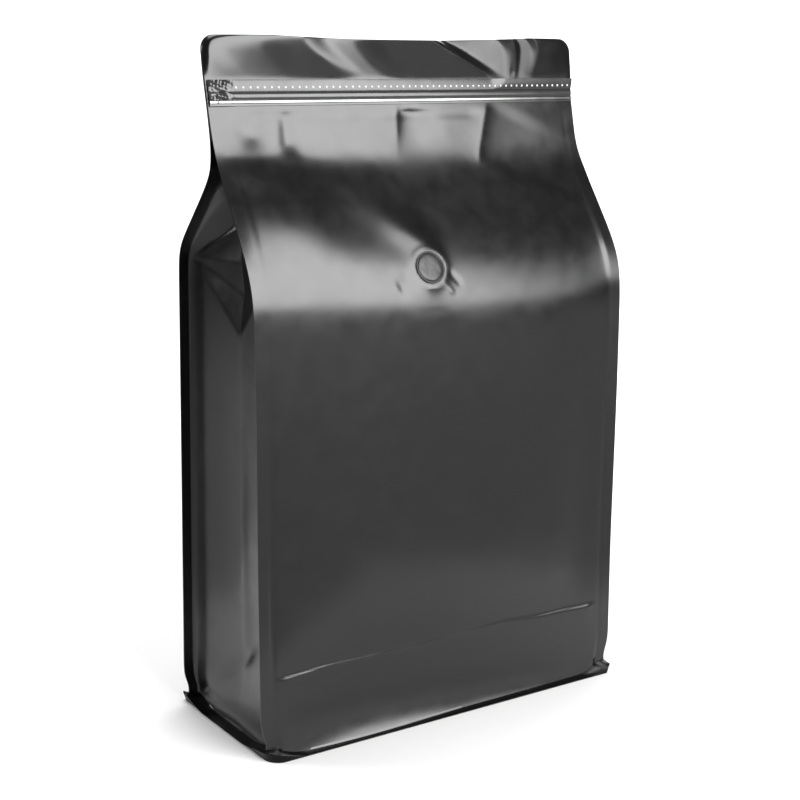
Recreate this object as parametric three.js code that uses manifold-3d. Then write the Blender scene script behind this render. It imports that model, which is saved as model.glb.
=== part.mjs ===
// A filled flat-bottomed pouch with side gussets, a flat header with a pocket zipper, and a
// one-way valve let into the shoulder of its front. Millimetres, +Z up. It stands on its base,
// its front faces -Y, and its origin is the middle of the base.
import * as THREE from "three";
import { mergeVertices } from "three/addons/utils/BufferGeometryUtils.js";
import Module from "manifold-3d";

const wasm = await Module();
wasm.setup();

// ---------- Driving dimensions ----------

const POUCH_WIDTH = 240; // across the front, from seal edge to seal edge
const POUCH_HEIGHT = 376.5; // base to the cut top edge, at the header's corners
const SIDE_SEAL = 8; // width of each upright seal fin
const FILM = 1; // thickness of a seal fin, and half of the closed header
const CLEARANCE = 0.3; // gap between the film and what is fixed to it

const BASE_WIDTH = 238; // the seal lip round the base, left to right
const BASE_DEPTH = 107; // and front to back
const BASE_CORNER = 9; // radius of the lip's left front corner
const SHARP_CORNER = 3; // and of its other corners
const LIP_EDGE = 0.8; // height of the lip's outer edge
const LIP_RISE = 2; // height at which the walls leave the lip, along its sides
const LIP_CORNER_RISE = 7; // and at its corners
const CORNER_REACH = 25; // how far from a corner it starts to rise
const LIP_UNDERCUT = 0.012; // how much smaller than the lip the sole is, as a share
const BASE_FLARE = 14; // height over which the walls curve out to the lip
const FLARE_OUT = 3; // how far they curve out
const FLARE_SQUARENESS = 0.3; // 1 for a plain arch from seal to seal, less for a straight one

const FRONT_AT_BASE = 47; // the front seal edge in front of the middle, at the base
const FRONT_AT_SHOULDER = 48.8; // and at the shoulder
const BACK_AT_BASE = 46.5; // the back seal edge behind the middle, at the base
const BACK_AT_SHOULDER = 35.9; // and at the shoulder
const LEAN_OUT = [60, 200]; // heights between which the front seal edge moves out to that
const FRONT_SHOULDER = 253; // height where the front turns in, the same at both seal edges
const SHOULDER_SAG = 2.5; // how much lower the filled front turns in between them
const SHOULDER_TILT = 7; // and how much lower still at the right, and higher at the left
const FRONT_NECK_LEFT = 320; // height where it reaches the header, at the left seal
const FRONT_NECK_RIGHT = 311; // and at the right seal
const BACK_SHOULDER = 266; // height where the back turns in
const BACK_NECK = 307.5; // height where it reaches the header
const FOLD_ROUNDING = 3.5; // how softly the back turns at the shoulder and the neck
const EDGE_ROUNDING = 7; // how softly the front's seal edges turn in at the shoulder
const FULL_ROUNDING = 10; // and the filled front in the middle between them
const NECK_ROUNDING = 5; // and how softly the front turns at the neck
const NECK = 322; // height where front and back are sealed to each other
const NECK_SETBACK = 6.4; // the closed header in front of the middle, at the neck
const NECK_GAP = 0.4; // the gusset's slot just under the header
const HEADER_LEAN = 0.215; // how far the header leans back for each mm of height
const HEADER_STAND = 0.36; // how much straighter its middle stands over the zipper
const STAND_FROM = 353.5; // the height from which it does
const STAND_SQUARENESS = 0.25; // 1 for a plain arch from seal to seal, less for a straight one
const STAND_ROUNDING = 1; // how softly it turns there
const HEADER_BOW = 5; // how far the header's middle bows forward
const BOW_HEIGHTS = [262, 322]; // heights between which the front takes on that bow
const HEADER_DIP = 2; // how far the cut edge dips in the middle
const DIP_REACH = 90; // how far to each side it dips
const HEADER_CORNER = 8; // radius of the header's top corners
const PINCH = 2.5; // how far the right seal edge is pulled in beside the neck
const PINCH_HEIGHTS = [300, 326, 340, 366]; // where that starts, is full, and ends again
const BASE_PINCH = 3; // how far both seal edges are pulled in just above the lip
const BASE_PINCH_HEIGHT = 2; // the height over the lip where they are pulled in most
const BASE_PINCH_REACH = 9; // and over which they come out again

const FRONT_BULGE = 5; // how far the filled front stands out between its seals
const BACK_BULGE = 4; // and the back
const FILLED = [0, 110]; // heights between which the walls swell
const SLACK = [252, 322]; // and between which they go flat again
const BULGE_SQUARENESS = 0.8; // 1 for a plain arch, less for a flatter middle
const PACK_FOLD = 47; // height of the crease left by the flat-packed bag
const PACK_FOLD_DEPTH = 1; // depth of that crease
const PACK_FOLD_REACH = 24; // height over which the wall bends in to it

const GUSSET_RECESS = 6; // depth of the gusset's middle crease in the body
const GUSSET_FULLNESS = 1.4; // 1 for two flat leaves, more for leaves rounded by the contents
const GUSSET_OPENS = [-10, 40]; // heights between which it reaches that depth
const GUSSET_VALLEY = 9.2; // its depth at the valley under the shoulder diamond
const GUSSET_SHOULDER = 8.8; // its depth at the shoulder
const GUSSET_RIDGE = 12.6; // its depth at the ridge at the top of the diamond
const GUSSET_ABOVE = 15.3; // its depth over the ridge
const GUSSET_FOLDED = 45; // its depth once it is folded flat under the header
const DIAMOND_MIDDLE = 260; // height of the diamond's side corners
const DIAMOND_UP = 23; // the diamond's top corner above them
const DIAMOND_DOWN = 17; // and its bottom corner below them
const VALLEY_REACH = 21; // height of the valley under the diamond
const RIDGE_FLANKS = [7, 13]; // heights above the ridge where its slope ends and the neck starts

const VALVE_X = -13.2; // the valve's middle, across the front
const VALVE_HEIGHT = 256.3; // and its height
const VALVE_RADIUS = 9;
const VALVE_THICKNESS = 1.6;
const VALVE_PROUD = 0.5; // how far its face stands out of the film
const VALVE_RIM = 1.2; // width of its raised rim
const VALVE_DISH = 0.4; // depth of its face inside the rim
const SEAT_RADIUS = 11; // the flat that the stiff valve presses into the curved shoulder
const SEAT_PROUD = 1; // how far that flat stands out of the line from its top to its bottom
const SEAT_SLOPE = 6; // width of the slope round it
const SEAT_DEPTH = 8; // and how deep the slope goes

const ZIP_BOTTOM = 340.8; // height of the zipper strip's lower edge
const ZIP_TOP = 354; // and of its upper edge
const ZIP_HALF_LENGTH = 119.3;
const ZIP_THICKNESS = 0.7; // the strip's flat flange
const RAIL_PROUD = 0.9; // how far each rail stands out of the flange
const RAIL_HEIGHTS = [346, 342.6]; // the two closing rails
const RAIL_HALF_WIDTH = 1.2;
const DOT_HEIGHT = 350; // the row of bumps along the tear tab
const DOT_PITCH = 4;
const DOT_RADIUS = 1;
const DOT_FIRST = -104; // where the row starts, past the welded end
const TAB_BOTTOM = 348; // height where the tear tab meets the strip of the rails
const CRUSH_LENGTH = 13; // the welded end of the strip, at the left seal
const CRUSH_PROUD = 0.8;

// ---------- Blends ----------

const HALF_WIDTH = POUCH_WIDTH / 2;
const SEAL_ROOT = HALF_WIDTH - SIDE_SEAL;

// 0 below `from`, 1 above `to`, with a smooth step between them.
function smoothStep(from, to, value) {
  const t = Math.min(1, Math.max(0, (value - from) / (to - from)));
  return t * t * (3 - 2 * t);
}

// How far a sheet has moved at a distance past a fold where it turns by a slope of 1.
const turnAfter = (distance, blend) => blend * Math.log1p(Math.exp(distance / blend));

// A ramp that climbs from 0 to 1 between two heights, with its foot and its top rounded.
function roundedRamp(from, to, [foot, top], value) {
  return (turnAfter(value - from, foot) - turnAfter(value - to, top)) / (to - from);
}

// How far an arch of a given span stands up at `x`: 1 in its middle and 0 at both ends.
function arch(x, halfSpan) {
  const t = Math.min(1, Math.abs(x) / halfSpan);
  return 1 - t * t;
}

// Straight lines between [place, value] pairs, level past both ends.
function polyline(pairs, place) {
  if (place <= pairs[0][0]) return pairs[0][1];
  for (let i = 1; i < pairs.length; i += 1) {
    const [from, low] = pairs[i - 1];
    const [to, high] = pairs[i];
    if (place <= to) return low + ((high - low) * (place - from)) / (to - from);
  }
  return pairs[pairs.length - 1][1];
}

// ---------- The pouch's form ----------

// How far the header's middle plane has leaned back at a height.
const headerLean = (z) => HEADER_LEAN * turnAfter(z - NECK, FOLD_ROUNDING);

// The front, without its bulge: its seal edges, seen from the side, and the filled film between
// them, which turns in lower and more softly.
function frontSeam(x, z) {
  const right = (x / HALF_WIDTH + 1) / 2;
  const between = Math.sqrt(arch(x, SEAL_ROOT));
  const sag = SHOULDER_SAG + (SHOULDER_TILT * x) / HALF_WIDTH;
  const shoulder = FRONT_SHOULDER - sag * between;
  const rounding = EDGE_ROUNDING + (FULL_ROUNDING - EDGE_ROUNDING) * between;
  const neck = FRONT_NECK_LEFT + (FRONT_NECK_RIGHT - FRONT_NECK_LEFT) * right;
  const wall = FRONT_AT_BASE + (FRONT_AT_SHOULDER - FRONT_AT_BASE) * smoothStep(...LEAN_OUT, z);
  const atHeader = NECK_SETBACK + FILM + NECK_GAP / 2;
  const turnedIn = roundedRamp(shoulder, neck, [rounding, NECK_ROUNDING], z);
  return headerLean(z) - wall - (atHeader - wall) * turnedIn;
}

function backSeam(z) {
  const wall = BACK_AT_BASE + ((BACK_AT_SHOULDER - BACK_AT_BASE) * z) / BACK_SHOULDER;
  const atHeader = -NECK_SETBACK + FILM + NECK_GAP / 2;
  const blends = [FOLD_ROUNDING, FOLD_ROUNDING];
  const turnedIn = roundedRamp(BACK_SHOULDER, BACK_NECK, blends, z);
  return wall + (atHeader - wall) * turnedIn + headerLean(z);
}

// The forward bow of the whole header, which the front takes on below it and the back at it.
const headerBow = (x, z) => HEADER_BOW * arch(x, HALF_WIDTH) * smoothStep(...BOW_HEIGHTS, z);
const backBow = (x, z) => headerBow(x, z) * smoothStep(BACK_NECK, NECK, z);

// How far the header's film stands forward over the zipper, where it is straighter.
function headerStand(x, z) {
  const forward = HEADER_STAND * turnAfter(z - STAND_FROM, STAND_ROUNDING);
  return forward * arch(x, HALF_WIDTH) ** STAND_SQUARENESS;
}

// Where a place across the front lies: the right seal edge is pulled in beside the neck, and both
// seal edges just above the lip.
function pulledIn(x, z) {
  const [start, full, fullTo, end] = PINCH_HEIGHTS;
  const pull = PINCH * smoothStep(start, full, z) * (1 - smoothStep(fullTo, end, z));
  const overLip = Math.exp(-(((z - BASE_PINCH_HEIGHT) / BASE_PINCH_REACH) ** 2));
  const basePull = BASE_PINCH * overLip * (x / HALF_WIDTH) ** 3;
  return x - pull * smoothStep(0, HALF_WIDTH, x) - basePull;
}

// How far a wall stands out of the plane of its seals: swollen by its contents, pulled in at the
// crease of the flat-packed bag, and curved out to the lip at the very bottom.
function standOut(x, z, bulge) {
  const fullness = smoothStep(...FILLED, z) * (1 - smoothStep(...SLACK, z));
  const fold = PACK_FOLD_DEPTH * Math.max(0, 1 - Math.abs(z - PACK_FOLD) / PACK_FOLD_REACH);
  const swell = (bulge * fullness - fold) * arch(x, SEAL_ROOT) ** BULGE_SQUARENESS;
  return swell + baseFlare(z) * arch(x, SEAL_ROOT) ** FLARE_SQUARENESS;
}

// How far the walls stand out just above the lip.
const baseFlare = (z) => FLARE_OUT * (1 - Math.min(1, z / BASE_FLARE)) ** 2;

function frontFace(x, z) {
  return frontSeam(x, z) - standOut(x, z, FRONT_BULGE) - headerBow(x, z) - headerStand(x, z);
}

function backFace(x, z) {
  return backSeam(z) + standOut(x, z, BACK_BULGE) - backBow(x, z) - headerStand(x, z);
}

// How deep the gusset's middle crease lies inside the seal roots.
const RIDGE_HEIGHT = DIAMOND_MIDDLE + DIAMOND_UP;
const CREASE_PATH = [
  [DIAMOND_MIDDLE - DIAMOND_DOWN - VALLEY_REACH, GUSSET_RECESS],
  [DIAMOND_MIDDLE - DIAMOND_DOWN, GUSSET_VALLEY],
  [DIAMOND_MIDDLE, GUSSET_SHOULDER],
  [RIDGE_HEIGHT, GUSSET_RIDGE],
  ...RIDGE_FLANKS.map((rise) => [RIDGE_HEIGHT + rise, GUSSET_ABOVE]),
  [NECK - 4, GUSSET_FOLDED],
];
const creaseDepth = (z) => polyline(CREASE_PATH, z);

// The gusset's depth, from 0 at a seal root (across = 0) to the middle crease (across = 1). Over
// the diamond its two leaves are flat between the roots and the crease. The diamond and the
// valley under it are flat facets that all start from the diamond's side corners.
function gussetDepth(across, z) {
  if (across <= 0) return 0;
  const above = z - DIAMOND_MIDDLE;
  const leaves = across * Math.max(GUSSET_ABOVE, creaseDepth(z));
  const facets = across * (creaseDepth(DIAMOND_MIDDLE + above / across) - GUSSET_RECESS);
  const upToRidge = Math.min(1, Math.max(0, above / (DIAMOND_UP * across)));
  const rounded = 1 - (1 - across) ** GUSSET_FULLNESS;
  const body = GUSSET_RECESS * (rounded + (across - rounded) * upToRidge);
  return Math.min(leaves, facets + body * smoothStep(...GUSSET_OPENS, z));
}

// ---------- Mesh helpers ----------

const spread = (from, to, steps) =>
  Array.from({ length: steps + 1 }, (_, i) => from + ((to - from) * i) / steps);

// A mesh under construction: points are added in rings, and faces by their indices.
class Skin {
  constructor() {
    this.points = [];
    this.faces = [];
  }

  addRing(points) {
    const first = this.points.length;
    this.points.push(...points);
    return points.map((_, i) => first + i);
  }

  addTriangle(a, b, c) {
    this.faces.push([a, b, c]);
  }

  // Triangles from one point to each stretch of a rim.
  addFan(hub, rim) {
    rim.slice(1).forEach((point, i) => this.addTriangle(hub, rim[i], point));
  }

  // Four corners, anticlockwise seen from outside, split along the shorter diagonal.
  addQuad(a, b, c, d) {
    const [pa, pb, pc, pd] = [a, b, c, d].map((i) => this.points[i]);
    if (pa.distanceTo(pc) <= pb.distanceTo(pd)) {
      this.addTriangle(a, b, c);
      this.addTriangle(a, c, d);
    } else {
      this.addTriangle(a, b, d);
      this.addTriangle(b, c, d);
    }
  }

  // The wall between two rings, the lower one first. Each runs anticlockwise seen from above.
  addWall(lower, upper) {
    lower.forEach((_, i) => {
      const next = (i + 1) % lower.length;
      this.addQuad(lower[i], lower[next], upper[next], upper[i]);
    });
  }

  geometry() {
    const made = new THREE.BufferGeometry();
    const flat = this.points.flatMap((p) => [p.x, p.y, p.z]);
    made.setAttribute("position", new THREE.Float32BufferAttribute(flat, 3));
    made.setIndex(this.faces.flat());
    return made;
  }
}

// Joins and cuts of closed meshes.
function solidOf(geometry) {
  const bare = geometry.clone();
  bare.deleteAttribute("normal");
  bare.deleteAttribute("uv");
  const merged = mergeVertices(bare, 1e-4);
  return new wasm.Manifold(
    new wasm.Mesh({
      numProp: 3,
      vertProperties: new Float32Array(merged.attributes.position.array),
      triVerts: new Uint32Array(merged.index.array),
    }),
  );
}

function geometryOf(solid) {
  const mesh = solid.getMesh();
  const made = new THREE.BufferGeometry();
  made.setAttribute("position", new THREE.BufferAttribute(mesh.vertProperties, 3));
  made.setIndex(new THREE.BufferAttribute(mesh.triVerts, 1));
  return made;
}

// ---------- The pouch ----------

// Places across a wall from its left seal edge to its right one, with the seals' middles.
function acrossWall(steps) {
  const seal = spread(SEAL_ROOT, HALF_WIDTH, 2).slice(1);
  const leftSeal = seal.map((x) => -x).reverse();
  return [...leftSeal, ...spread(-SEAL_ROOT, SEAL_ROOT, steps), ...seal];
}

const ROUND_SIDES = 36;
const STRIP_STEPS = 24;
const GUSSET_STEPS = 10;
const FRONT_X = acrossWall(18);
const BACK_X = acrossWall(12).reverse();

// Heights of the body's rings: close together where it folds.
const BODY_HEIGHTS = [
  ...spread(0, BASE_FLARE, 4).slice(1),
  ...spread(BASE_FLARE, PACK_FOLD, 3).slice(1),
  ...spread(PACK_FOLD, 215, 8).slice(1),
  ...spread(215, 240, 3).slice(1),
  ...spread(240, 284, 11).slice(1),
  ...spread(284, NECK, 7).slice(1),
];

// One gusset from the front seal edge to the back one, at the right (side = 1) or left (-1).
function gussetPoints(side, z) {
  const front = frontSeam(side * HALF_WIDTH, z) + FILM;
  const back = Math.max(backSeam(z) - FILM, front + NECK_GAP);
  const points = [new THREE.Vector3(side * HALF_WIDTH, front, z)];
  spread(-1, 1, GUSSET_STEPS).forEach((place) => {
    const y = (front + back) / 2 + (place * (back - front)) / 2;
    const depth = gussetDepth(1 - Math.abs(place), z) - baseFlare(z) * (1 - place ** 4);
    const x = side * (SEAL_ROOT - depth);
    points.push(new THREE.Vector3(x, y - backBow(x, z), z));
  });
  points.push(new THREE.Vector3(side * HALF_WIDTH, back, z));
  return points;
}

// A whole ring of the body, anticlockwise from above, starting at the front left seal edge.
function bodyRing(z) {
  const front = FRONT_X.map((x) => new THREE.Vector3(x, frontFace(x, z), z));
  const back = BACK_X.map((x) => new THREE.Vector3(x, backFace(x, z), z));
  const ring = [...front, ...gussetPoints(1, z), ...back, ...gussetPoints(-1, z).reverse()];
  return ring.map((point) => point.setX(pulledIn(point.x, z)));
}

// The lip's outer edge at a height, with a point for each point of a body ring. Along each side
// the walls' points are spread over the straight stretch, and the seals' over half a corner.
function lipRing(z) {
  const radius = (sideX, sideY) => (sideX < 0 && sideY < 0 ? BASE_CORNER : SHARP_CORNER);
  const corner = (sideX, sideY, degrees) => {
    const angle = THREE.MathUtils.degToRad(degrees);
    const x = BASE_WIDTH / 2 - radius(sideX, sideY) * (1 - Math.sin(angle));
    const y = BASE_DEPTH / 2 - radius(sideX, sideY) * (1 - Math.cos(angle));
    return new THREE.Vector3(sideX * x, sideY * y, z);
  };
  const long = (xs, sideY) =>
    xs.map((x) => {
      const intoSeal = Math.max(0, Math.abs(x) - SEAL_ROOT) / SIDE_SEAL;
      const flatX = BASE_WIDTH / 2 - radius(Math.sign(x), sideY);
      const straight = new THREE.Vector3((x * flatX) / SEAL_ROOT, sideY * (BASE_DEPTH / 2), z);
      return intoSeal > 0 ? corner(Math.sign(x), sideY, 45 * intoSeal) : straight;
    });
  const flatEnd = (sideX, sideY) => sideY * (BASE_DEPTH / 2 - radius(sideX, sideY));
  const short = (sideX) => [
    ...[60, 75].map((degrees) => corner(sideX, -1, degrees)),
    ...spread(flatEnd(sideX, -1), flatEnd(sideX, 1), GUSSET_STEPS - 2).map((y) => {
      return new THREE.Vector3((sideX * BASE_WIDTH) / 2, y, z);
    }),
    ...[75, 60].map((degrees) => corner(sideX, 1, degrees)),
  ];
  return [...long(FRONT_X, -1), ...short(1), ...long(BACK_X, 1), ...short(-1).reverse()];
}

// The height at which the walls leave the lip: higher at the corners.
function wallFoot(point) {
  const nearSide = smoothStep(HALF_WIDTH - CORNER_REACH, HALF_WIDTH, Math.abs(point.x));
  const nearEnd = smoothStep(FRONT_AT_BASE - CORNER_REACH, FRONT_AT_BASE, Math.abs(point.y));
  return LIP_RISE + (LIP_CORNER_RISE - LIP_RISE) * nearSide * nearEnd;
}

// A ring of the walls moved up, near the base, to clear the lip.
function liftedRing(z) {
  return bodyRing(z).map((point) => {
    const foot = wallFoot(point);
    const lifted = foot + (z * (PACK_FOLD - foot)) / PACK_FOLD;
    return new THREE.Vector3(point.x, point.y, z < PACK_FOLD ? lifted : z);
  });
}

// A ring of the closed header. Its ends have the same four points as the body's seal edges.
function headerRing(z) {
  const above = Math.max(0, z - (POUCH_HEIGHT - HEADER_CORNER));
  const cut = HEADER_CORNER - Math.sqrt(Math.max(0, HEADER_CORNER ** 2 - above ** 2));
  const narrow = (HALF_WIDTH - cut) / HALF_WIDTH;
  const share = Math.max(0, (z - ZIP_TOP) / (POUCH_HEIGHT - ZIP_TOP));
  const height = (x) => z - HEADER_DIP * share * arch(x, DIP_REACH);
  const front = FRONT_X.map((x) => new THREE.Vector3(x * narrow, frontFace(x, z), height(x)));
  const back = BACK_X.map((x) => {
    return new THREE.Vector3(x * narrow, backFace(x, z), height(x));
  });
  const end = (side) => {
    const outer = frontFace(side * HALF_WIDTH, z);
    const inner = backFace(side * HALF_WIDTH, z);
    const x = side * HALF_WIDTH * narrow;
    return [
      new THREE.Vector3(x, outer + FILM, z),
      new THREE.Vector3(x, Math.max(inner - FILM, outer + FILM + NECK_GAP), z),
    ];
  };
  const ring = [...front, ...end(1), ...back, ...end(-1).reverse()];
  return ring.map((point) => point.setX(pulledIn(point.x, z)));
}

const HEADER_HEIGHTS = [
  ...spread(NECK, POUCH_HEIGHT - HEADER_CORNER, 7).slice(1),
  ...[0.35, 0.65, 0.86, 0.97, 1].map((part) => POUCH_HEIGHT - HEADER_CORNER * (1 - part)),
];

// The valve sits square to the film, which it holds flat across its own height.
const FILM_OVER_VALVE = frontFace(VALVE_X, VALVE_HEIGHT + VALVE_RADIUS);
const FILM_UNDER_VALVE = frontFace(VALVE_X, VALVE_HEIGHT - VALVE_RADIUS);
const VALVE_TILT = Math.atan2(FILM_OVER_VALVE - FILM_UNDER_VALVE, 2 * VALVE_RADIUS);

// Moves a shape turned about the Z axis to the valve's place: its +Z end faces out of the film.
function atValve(geometry, proud) {
  const middle = (FILM_OVER_VALVE + FILM_UNDER_VALVE) / 2 - SEAT_PROUD;
  geometry.translate(0, 0, proud);
  geometry.rotateX(Math.PI / 2 - VALVE_TILT);
  geometry.translate(VALVE_X, middle, VALVE_HEIGHT);
  return geometry;
}

// Turns an outline of [radius, height] pairs, from the axis to the axis, into a closed solid.
function turned(outline) {
  const points = outline.map(([radius, height]) => new THREE.Vector2(radius, height));
  return new THREE.LatheGeometry(points, ROUND_SIDES).rotateX(Math.PI / 2);
}

// The body's wall, open at the top: rings from the base up to the header. Returns the top ring.
function addBody(skin) {
  const sole = lipRing(0).map((point) => point.multiplyScalar(1 - LIP_UNDERCUT));
  const soleRing = skin.addRing(sole);
  const [middle] = skin.addRing([new THREE.Vector3(0, 0, 0)]);
  soleRing.forEach((corner, i) => {
    skin.addTriangle(middle, soleRing[(i + 1) % soleRing.length], corner);
  });
  const feet = liftedRing(0);
  const edge = lipRing(LIP_EDGE).map((point, i) => point.setZ(LIP_EDGE + feet[i].z - LIP_RISE));
  let below = skin.addRing(edge);
  skin.addWall(soleRing, below);
  [0, ...BODY_HEIGHTS].forEach((z) => {
    const ring = skin.addRing(liftedRing(z));
    skin.addWall(below, ring);
    below = ring;
  });
  return below;
}

// Just under the header each gusset's slot is roofed over, from its front leaf to its back leaf.
// Returns the ring's other points, from which the header carries on.
function roofSlots(skin, ring) {
  const count = GUSSET_STEPS + 3;
  const starts = [FRONT_X.length, FRONT_X.length + count + BACK_X.length];
  starts.forEach((start) => {
    const slot = ring.slice(start, start + count);
    const middle = (count - 1) / 2;
    for (let i = 0; i < middle - 1; i += 1) {
      skin.addQuad(slot[i], slot[i + 1], slot[count - 2 - i], slot[count - 1 - i]);
    }
    skin.addTriangle(slot[middle - 1], slot[middle], slot[middle + 1]);
  });
  return ring.filter((_, i) => !starts.some((start) => i > start && i < start + count - 1));
}

// Closes the header's narrow cut edge, between its front edge and its back edge.
function closeTop(skin, ring) {
  const backFirst = FRONT_X.length + 2;
  const front = ring.slice(0, FRONT_X.length);
  const rightEnd = ring.slice(FRONT_X.length, backFirst);
  const back = ring.slice(backFirst, backFirst + BACK_X.length).reverse();
  const leftEnd = ring.slice(-2);
  const lastFront = front.length - 2;
  const lastBack = back.length - 1;
  skin.addFan(front[1], [back[0], ...leftEnd, front[0]]);
  let f = 1;
  let b = 0;
  while (f < lastFront || b < lastBack) {
    const frontIsBehind = f / lastFront <= b / lastBack;
    if (b === lastBack || (f < lastFront && frontIsBehind)) {
      skin.addTriangle(front[f], front[f + 1], back[b]);
      f += 1;
    } else {
      skin.addTriangle(front[f], back[b + 1], back[b]);
      b += 1;
    }
  }
  skin.addFan(front[f], [front[f + 1], ...rightEnd, back[b]]);
}

function makeShell() {
  const skin = new Skin();
  let top = roofSlots(skin, addBody(skin));
  HEADER_HEIGHTS.forEach((z) => {
    const ring = skin.addRing(headerRing(z));
    skin.addWall(top, ring);
    top = ring;
  });
  closeTop(skin, top);
  return skin.geometry();
}

// The pouch, with the flat seat that the valve presses into its shoulder, and the valve's pocket.
function makePouch() {
  const pocket = VALVE_RADIUS + CLEARANCE;
  const floor = VALVE_PROUD - VALVE_THICKNESS - CLEARANCE;
  const foot = SEAT_RADIUS + SEAT_SLOPE;
  const seat = turned([[0, -SEAT_DEPTH], [foot, -SEAT_DEPTH], [SEAT_RADIUS, 0], [0, 0]]);
  const hole = turned([[0, floor], [pocket, floor], [pocket, SEAT_DEPTH], [0, SEAT_DEPTH]]);
  return geometryOf(
    solidOf(makeShell())
      .add(solidOf(atValve(seat, 0)))
      .subtract(solidOf(atValve(hole, 0))),
  );
}

// ---------- The valve and the zipper ----------

function makeValve() {
  const rimIn = VALVE_RADIUS - VALVE_RIM;
  const outline = [
    [0, -VALVE_THICKNESS],
    [VALVE_RADIUS, -VALVE_THICKNESS],
    [VALVE_RADIUS, -VALVE_DISH],
    [VALVE_RADIUS - 0.3, 0],
    [rimIn, 0],
    [rimIn - 0.6, -VALVE_DISH],
    [0, -VALVE_DISH],
  ];
  return atValve(turned(outline), VALVE_PROUD);
}

// A strip welded across the front of the header. `profile` is the list of [height, thickness]
// pairs of its front side, from its upper edge to its lower edge.
function makeStrip(profile) {
  const skin = new Skin();
  const [high] = profile[0];
  const [low] = profile[profile.length - 1];
  const rings = spread(-ZIP_HALF_LENGTH, ZIP_HALF_LENGTH, STRIP_STEPS).map((x) => {
    const crushed = CRUSH_PROUD * (1 - smoothStep(0, CRUSH_LENGTH, x + ZIP_HALF_LENGTH));
    const at = (z, out) => {
      return new THREE.Vector3(pulledIn(x, z), frontFace(x, z) - CLEARANCE - out, z);
    };
    const outer = profile.map(([z, thickness]) => at(z, thickness + crushed));
    return skin.addRing([...outer, at(low, 0), at(high, 0)]);
  });
  rings.slice(1).forEach((ring, i) => skin.addWall(rings[i], ring));
  const endCap = (ring, facesLeft) => {
    const count = profile.length;
    const rim = [ring[count + 1], ...ring.slice(0, count)];
    skin.addFan(ring[count], facesLeft ? rim.reverse() : rim);
  };
  endCap(rings[0], true);
  endCap(rings[rings.length - 1], false);
  return skin.geometry();
}

// The lower strip: two rounded rails that press shut.
function makeRails() {
  const bump = (height) => [
    [height + RAIL_HALF_WIDTH, ZIP_THICKNESS],
    [height + RAIL_HALF_WIDTH / 2, ZIP_THICKNESS + RAIL_PROUD * 0.8],
    [height, ZIP_THICKNESS + RAIL_PROUD],
    [height - RAIL_HALF_WIDTH / 2, ZIP_THICKNESS + RAIL_PROUD * 0.8],
    [height - RAIL_HALF_WIDTH, ZIP_THICKNESS],
  ];
  return makeStrip([
    [TAB_BOTTOM - CLEARANCE, ZIP_THICKNESS],
    ...RAIL_HEIGHTS.flatMap(bump),
    [ZIP_BOTTOM, ZIP_THICKNESS],
  ]);
}

// The upper strip: a tear tab with a row of small bumps along it.
function makeTearTab() {
  let tab = solidOf(makeStrip([
    [ZIP_TOP, ZIP_THICKNESS / 2],
    [ZIP_TOP - 1, ZIP_THICKNESS],
    [TAB_BOTTOM, ZIP_THICKNESS],
  ]));
  for (let x = DOT_FIRST; x < ZIP_HALF_LENGTH - DOT_RADIUS; x += DOT_PITCH) {
    const dot = new THREE.CylinderGeometry(DOT_RADIUS, DOT_RADIUS / 2, DOT_RADIUS, 6);
    const middle = frontFace(x, DOT_HEIGHT) - CLEARANCE - ZIP_THICKNESS;
    dot.translate(pulledIn(x, DOT_HEIGHT), middle, DOT_HEIGHT);
    tab = tab.add(solidOf(dot));
  }
  return geometryOf(tab);
}

// ---------- Materials and scene graph ----------

const film = new THREE.MeshStandardMaterial({ color: 0x3a3b3e, roughness: 0.4, metalness: 0.3 });
const valvePlastic = new THREE.MeshStandardMaterial({
  color: 0x46474a,
  roughness: 0.45,
  metalness: 0.1,
});
const zipPlastic = new THREE.MeshStandardMaterial({
  color: 0x8f9194,
  roughness: 0.25,
  metalness: 0.2,
});

function named(name, geometry, material) {
  const mesh = new THREE.Mesh(geometry, material);
  mesh.name = name;
  return mesh;
}

const pouch = new THREE.Group();
pouch.add(named("pouch", makePouch(), film));
pouch.add(named("valve", makeValve(), valvePlastic));
pouch.add(named("tear_tab", makeTearTab(), zipPlastic));
pouch.add(named("zip_rails", makeRails(), zipPlastic));

export default pouch;
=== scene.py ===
import bpy
import numpy as np
from bpy.props import FloatProperty, FloatVectorProperty, PointerProperty
from bpy.types import Operator, Panel, PropertyGroup
from mathutils import Matrix, Vector


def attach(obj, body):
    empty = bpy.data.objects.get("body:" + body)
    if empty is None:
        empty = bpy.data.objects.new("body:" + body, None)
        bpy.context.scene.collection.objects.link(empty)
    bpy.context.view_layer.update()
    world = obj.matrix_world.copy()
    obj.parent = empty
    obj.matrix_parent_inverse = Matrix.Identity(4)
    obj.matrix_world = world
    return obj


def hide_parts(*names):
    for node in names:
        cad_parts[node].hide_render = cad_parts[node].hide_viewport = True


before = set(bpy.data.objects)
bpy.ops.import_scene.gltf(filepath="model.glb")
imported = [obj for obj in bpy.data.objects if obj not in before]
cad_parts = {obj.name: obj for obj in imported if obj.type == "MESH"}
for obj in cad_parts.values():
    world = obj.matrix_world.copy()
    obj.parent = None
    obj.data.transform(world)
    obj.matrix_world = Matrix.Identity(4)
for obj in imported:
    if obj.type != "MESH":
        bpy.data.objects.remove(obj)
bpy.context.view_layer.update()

bl_info = {
    "name": "Stand-up pouch with valve",
    "version": (1, 0, 0),
    "blender": (4, 5, 0),
    "location": "3D View > Sidebar > Pouch",
    "description": "A filled flat-bottomed pouch with side gussets, a zipper and a one-way valve",
    "category": "Object",
}

# Lengths are millimetres, as in the part's own drawing. MM turns them into metres.
MM = 0.001
TINY, SMALL = 1e-6, 1e-3  # a share and a length that keep a divisor away from 0
BODY = "root"

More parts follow.
